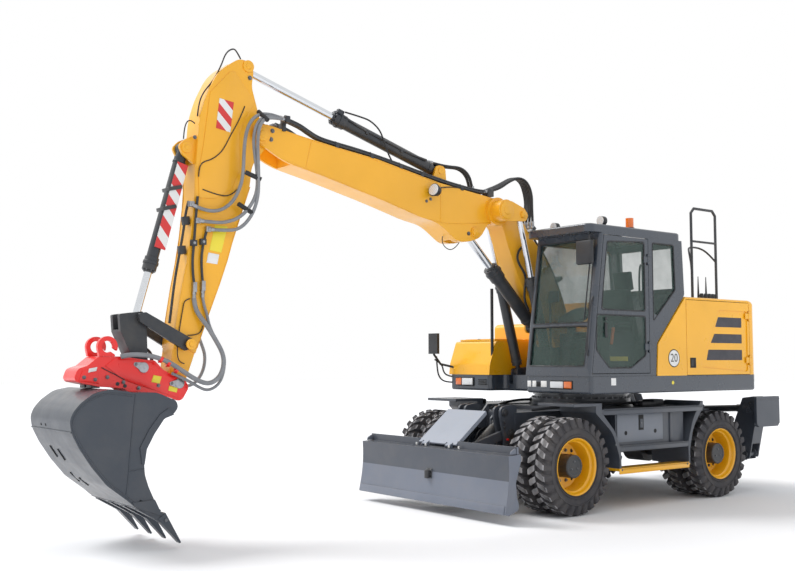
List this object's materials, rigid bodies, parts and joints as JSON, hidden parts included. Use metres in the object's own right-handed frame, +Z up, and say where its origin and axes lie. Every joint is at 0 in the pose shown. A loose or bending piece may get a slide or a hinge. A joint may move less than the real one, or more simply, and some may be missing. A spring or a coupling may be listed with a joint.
{
  "type": "wheeled excavator",
  "caption": "Wheeled excavator with twin tyres, a two-piece boom, a quick coupler with a digging bucket, a front dozer blade and rear outriggers.",
  "frame": {"origin": "on the ground under the slewing axis", "axes": "+X forward, +Y to the machine's left, +Z up"},
  "size_m": [9.0001, 2.657, 4.599],
  "materials": {
    "yellow_paint": "gloss",
    "grey_paint": "satin",
    "blade_grey": "satin",
    "dark_metal": "satin",
    "chrome": "polished",
    "counterweight_iron": "painted",
    "engine_iron": "matt",
    "tyre_rubber": "matt",
    "glass": "clear",
    "seat_fabric": "woven",
    "interior_plastic": "matt",
    "coupler_red": "gloss"
  },
  "bodies": {
    "chassis": {"chassis_frame": "grey_paint", "front_axle": "dark_metal", "rear_axle": "dark_metal", "side_steps": "grey_paint"},
    "knuckle_left": {"knuckle_left": "dark_metal"},
    "knuckle_right": {"knuckle_right": "dark_metal"},
    "upper": {"platform": "grey_paint", "counterweight": "counterweight_iron", "lifting_bosses": "dark_metal", "engine_hood": "yellow_paint", "side_panel": "yellow_paint", "engine_block": "engine_iron", "right_tank": "yellow_paint", "right_box": "yellow_paint", "cab_shell": "grey_paint", "cab_roof": "grey_paint", "cab_glass": "glass", "seat": "seat_fabric", "cab_console": "interior_plastic"},
    "cab_door": {"cab_door": "grey_paint", "door_glass": "glass"},
    "engine_door_left": {"engine_door_left": "yellow_paint"},
    "engine_door_right": {"engine_door_right": "yellow_paint"},
    "toolbox_lid": {"toolbox_lid": "yellow_paint"},
    "blade_arms": {"blade_arms": "blade_grey"},
    "blade_links": {"blade_links": "blade_grey"},
    "blade": {"blade": "blade_grey"},
    "blade_cover": {"blade_cover": "blade_grey"},
    "lower_boom": {"lower_boom": "yellow_paint"},
    "upper_boom": {"upper_boom": "yellow_paint"},
    "stick": {"stick": "yellow_paint"},
    "bucket_levers": {"bucket_levers": "dark_metal"},
    "bucket_link": {"bucket_link": "dark_metal"},
    "bucket": {"coupler": "coupler_red", "coupler_hooks": "coupler_red", "bucket": "dark_metal"},
    "wheel_front_left": {"tyres_front_left": "tyre_rubber", "wheel_front_left": "yellow_paint"},
    "wheel_front_right": {"tyres_front_right": "tyre_rubber", "wheel_front_right": "yellow_paint"},
    "wheel_rear_left": {"tyres_rear_left": "tyre_rubber", "wheel_rear_left": "yellow_paint"},
    "wheel_rear_right": {"tyres_rear_right": "tyre_rubber", "wheel_rear_right": "yellow_paint"},
    "outrigger_left": {"outrigger_left": "grey_paint"},
    "outrigger_barrel_left": {"outrigger_barrel_left": "dark_metal"},
    "outrigger_rod_left": {"outrigger_rod_left": "chrome"},
    "outrigger_right": {"outrigger_right": "grey_paint"},
    "outrigger_barrel_right": {"outrigger_barrel_right": "dark_metal"},
    "outrigger_rod_right": {"outrigger_rod_right": "chrome"},
    "lift_barrels": {"lift_barrels": "dark_metal"},
    "lift_rods": {"lift_rods": "chrome"},
    "adjust_barrel": {"adjust_barrel": "dark_metal"},
    "adjust_rod": {"adjust_rod": "chrome"},
    "stick_barrel": {"stick_barrel": "dark_metal"},
    "stick_rod": {"stick_rod": "chrome"},
    "bucket_barrel": {"bucket_barrel": "dark_metal"},
    "bucket_rod": {"bucket_rod": "chrome"},
    "blade_barrels": {"blade_barrels": "dark_metal"},
    "blade_rods": {"blade_rods": "chrome"}
  },
  "joints": [
    {"name": "steering_left", "type": "hinge", "parent": "chassis", "child": "knuckle_left", "pos_m": [1.42, 0.72, 0.52], "axis": [0, 0, 1], "range_deg": [-18, 18]},
    {"name": "wheel_front_left", "type": "hinge", "parent": "knuckle_left", "child": "wheel_front_left", "pos_m": [1.42, 0.9, 0.52], "axis": [0, 1, 0], "continuous": true},
    {"name": "wheel_rear_left", "type": "hinge", "parent": "chassis", "child": "wheel_rear_left", "pos_m": [-1.12, 0.9, 0.52], "axis": [0, 1, 0], "continuous": true},
    {"name": "steering_right", "type": "hinge", "parent": "chassis", "child": "knuckle_right", "pos_m": [1.42, -0.72, 0.52], "axis": [0, 0, 1], "range_deg": [-18, 18]},
    {"name": "wheel_front_right", "type": "hinge", "parent": "knuckle_right", "child": "wheel_front_right", "pos_m": [1.42, -0.9, 0.52], "axis": [0, 1, 0], "continuous": true},
    {"name": "wheel_rear_right", "type": "hinge", "parent": "chassis", "child": "wheel_rear_right", "pos_m": [-1.12, -0.9, 0.52], "axis": [0, 1, 0], "continuous": true},
    {"name": "slew", "type": "hinge", "parent": "chassis", "child": "upper", "pos_m": [0, 0, 1.232], "axis": [0, 0, 1], "continuous": true},
    {"name": "lower_boom", "type": "hinge", "parent": "upper", "child": "lower_boom", "pos_m": [0.25, -0.12, 1.76], "axis": [0, -1, 0], "range_deg": [-35, 15]},
    {"name": "upper_boom", "type": "hinge", "parent": "lower_boom", "child": "upper_boom", "pos_m": [1.455, -0.12, 3.38], "axis": [0, 1, 0], "range_deg": [-25, 40]},
    {"name": "stick", "type": "hinge", "parent": "upper_boom", "child": "stick", "pos_m": [4.6, -0.12, 3.87], "axis": [0, -1, 0], "range_deg": [-40, 50]},
    {"name": "bucket", "type": "hinge", "parent": "stick", "child": "bucket", "pos_m": [5.445, -0.12, 1.433], "axis": [0, 1, 0], "range_deg": [-40, 100]},
    {"name": "lift_cylinder_barrel", "type": "hinge", "parent": "upper", "child": "lift_barrels", "pos_m": [0.69, -0.12, 1.5], "axis": [0, 1, 0], "range_deg": [-14.61, 34.08]},
    {"name": "lift_cylinder_rod", "type": "slide", "parent": "lift_barrels", "child": "lift_rods", "axis": [0.2631, 0, 0.9648], "range_m": [-0.30349, 0.13013]},
    {"name": "adjust_cylinder_barrel", "type": "hinge", "parent": "lower_boom", "child": "adjust_barrel", "pos_m": [0.7, -0.12, 2.05], "axis": [0, 1, 0], "range_deg": [-0.1536, 0.0998]},
    {"name": "adjust_cylinder_rod", "type": "slide", "parent": "adjust_barrel", "child": "adjust_rod", "axis": [0.7137, 0, 0.7005], "range_m": [-0.28122, 0.1758]},
    {"name": "stick_cylinder_barrel", "type": "hinge", "parent": "upper_boom", "child": "stick_barrel", "pos_m": [2.23, -0.12, 3.79], "axis": [0, 1, 0], "range_deg": [-5.16, 4.13]},
    {"name": "stick_cylinder_rod", "type": "slide", "parent": "stick_barrel", "child": "stick_rod", "axis": [0.9584, 0, 0.2853], "range_m": [-0.51753, 0.41404]},
    {"name": "bucket_levers", "type": "hinge", "parent": "stick", "child": "bucket_levers", "pos_m": [5.347, -0.12, 1.796], "axis": [0, 1, 0], "range_deg": [-28.57, 71.43]},
    {"name": "bucket_link", "type": "hinge", "parent": "bucket_levers", "child": "bucket_link", "pos_m": [5.808, -0.12, 2.036], "axis": [0, 1, 0], "range_deg": [-52.42, 20.97]},
    {"name": "bucket_cylinder_barrel", "type": "hinge", "parent": "stick", "child": "bucket_barrel", "pos_m": [5.365, -0.12, 3.655], "axis": [0, 1, 0], "range_deg": [-1.05, 2.62]},
    {"name": "bucket_cylinder_rod", "type": "slide", "parent": "bucket_barrel", "child": "bucket_rod", "axis": [0.2639, 0, -0.9645], "range_m": [-0.23135, 0.57822]},
    {"name": "blade_arms", "type": "hinge", "parent": "chassis", "child": "blade_arms", "pos_m": [1.6, 0, 0.43], "axis": [0, -1, 0], "range_deg": [-24, 32]},
    {"name": "blade_level", "type": "hinge", "parent": "blade_arms", "child": "blade", "pos_m": [2.23, 0, 0.26], "axis": [0, -1, 0], "range_deg": [-32.01, 24.01]},
    {"name": "blade_links", "type": "hinge", "parent": "chassis", "child": "blade_links", "pos_m": [1.56, 0, 0.83], "axis": [0, -1, 0], "range_deg": [-24.01, 32.01]},
    {"name": "blade_cover", "type": "hinge", "parent": "blade", "child": "blade_cover", "pos_m": [2.33, 0, 0.726], "axis": [0, -1, 0], "range_deg": [-18.01, 24.01]},
    {"name": "blade_cylinder_barrel", "type": "hinge", "parent": "chassis", "child": "blade_barrels", "pos_m": [1.572, 0, 0.94], "axis": [0, 1, 0], "range_deg": [-24.56, 18.42]},
    {"name": "blade_cylinder_rod", "type": "slide", "parent": "blade_barrels", "child": "blade_rods", "axis": [0.7884, 0, -0.6152], "range_m": [-0.14617, 0.10966]},
    {"name": "outrigger_left", "type": "hinge", "parent": "chassis", "child": "outrigger_left", "pos_m": [-2.185, 0.93, 0.44], "axis": [-1, 0, 0], "range_deg": [0, 104]},
    {"name": "outrigger_cylinder_left_barrel", "type": "hinge", "parent": "chassis", "child": "outrigger_barrel_left", "pos_m": [-2.185, 0.06, 0.985], "axis": [-1, 0, 0], "range_deg": [-0.01, 28.04]},
    {"name": "outrigger_cylinder_left_rod", "type": "slide", "parent": "outrigger_barrel_left", "child": "outrigger_rod_left", "axis": [0, 0.9987, 0.0518], "range_m": [-0.0001, 0.78329]},
    {"name": "outrigger_right", "type": "hinge", "parent": "chassis", "child": "outrigger_right", "pos_m": [-2.185, -0.93, 0.44], "axis": [1, 0, 0], "range_deg": [0, 104]},
    {"name": "outrigger_cylinder_right_barrel", "type": "hinge", "parent": "chassis", "child": "outrigger_barrel_right", "pos_m": [-2.185, -0.06, 0.985], "axis": [1, 0, 0], "range_deg": [-0.01, 28.04]},
    {"name": "outrigger_cylinder_right_rod", "type": "slide", "parent": "outrigger_barrel_right", "child": "outrigger_rod_right", "axis": [0, -0.9987, 0.0518], "range_m": [-0.0001, 0.78329]},
    {"name": "cab_door", "type": "hinge", "parent": "upper", "child": "cab_door", "pos_m": [0.212, 1.245, 2.3], "axis": [0, 0, 1], "range_deg": [0, 95]},
    {"name": "engine_door_left", "type": "hinge", "parent": "upper", "child": "engine_door_left", "pos_m": [-1.732, 1.255, 1.9], "axis": [0, 0, 1], "range_deg": [0, 90]},
    {"name": "engine_door_right", "type": "hinge", "parent": "upper", "child": "engine_door_right", "pos_m": [-1.732, -1.255, 1.9], "axis": [0, 0, -1], "range_deg": [0, 90]},
    {"name": "toolbox_lid", "type": "hinge", "parent": "upper", "child": "toolbox_lid", "pos_m": [0.328, -0.875, 1.905], "axis": [0, -1, 0], "range_deg": [0, 75]}
  ],
  "couplings": [
    {"joint": "steering_right", "follows": "steering_left", "ratio": 1},
    {"joint": "lift_cylinder_barrel", "follows": "lower_boom", "ratio": -0.97337},
    {"joint": "lift_cylinder_rod", "follows": "lower_boom", "m_per_rad": 0.49666},
    {"joint": "adjust_cylinder_barrel", "follows": "upper_boom", "ratio": -0.003588},
    {"joint": "adjust_cylinder_rod", "follows": "upper_boom", "m_per_rad": -0.40267},
    {"joint": "stick_cylinder_barrel", "follows": "stick", "ratio": -0.10293},
    {"joint": "stick_cylinder_rod", "follows": "stick", "m_per_rad": -0.59293},
    {"joint": "bucket_levers", "follows": "bucket", "ratio": 0.71434},
    {"joint": "bucket_link", "follows": "bucket", "ratio": -0.52423},
    {"joint": "bucket_cylinder_barrel", "follows": "bucket", "ratio": 0.026089},
    {"joint": "bucket_cylinder_rod", "follows": "bucket", "m_per_rad": 0.33124},
    {"joint": "blade_cover", "follows": "blade_arms", "ratio": 0.75},
    {"joint": "blade_level", "follows": "blade_arms", "ratio": -1},
    {"joint": "blade_links", "follows": "blade_arms", "ratio": 1},
    {"joint": "blade_cylinder_barrel", "follows": "blade_arms", "ratio": -0.76707},
    {"joint": "blade_cylinder_rod", "follows": "blade_arms", "m_per_rad": -0.26154},
    {"joint": "outrigger_cylinder_left_barrel", "follows": "outrigger_left", "ratio": 0.2695},
    {"joint": "outrigger_cylinder_left_rod", "follows": "outrigger_left", "m_per_rad": 0.43147},
    {"joint": "outrigger_cylinder_right_barrel", "follows": "outrigger_right", "ratio": 0.2695},
    {"joint": "outrigger_cylinder_right_rod", "follows": "outrigger_right", "m_per_rad": 0.43147}
  ]
}
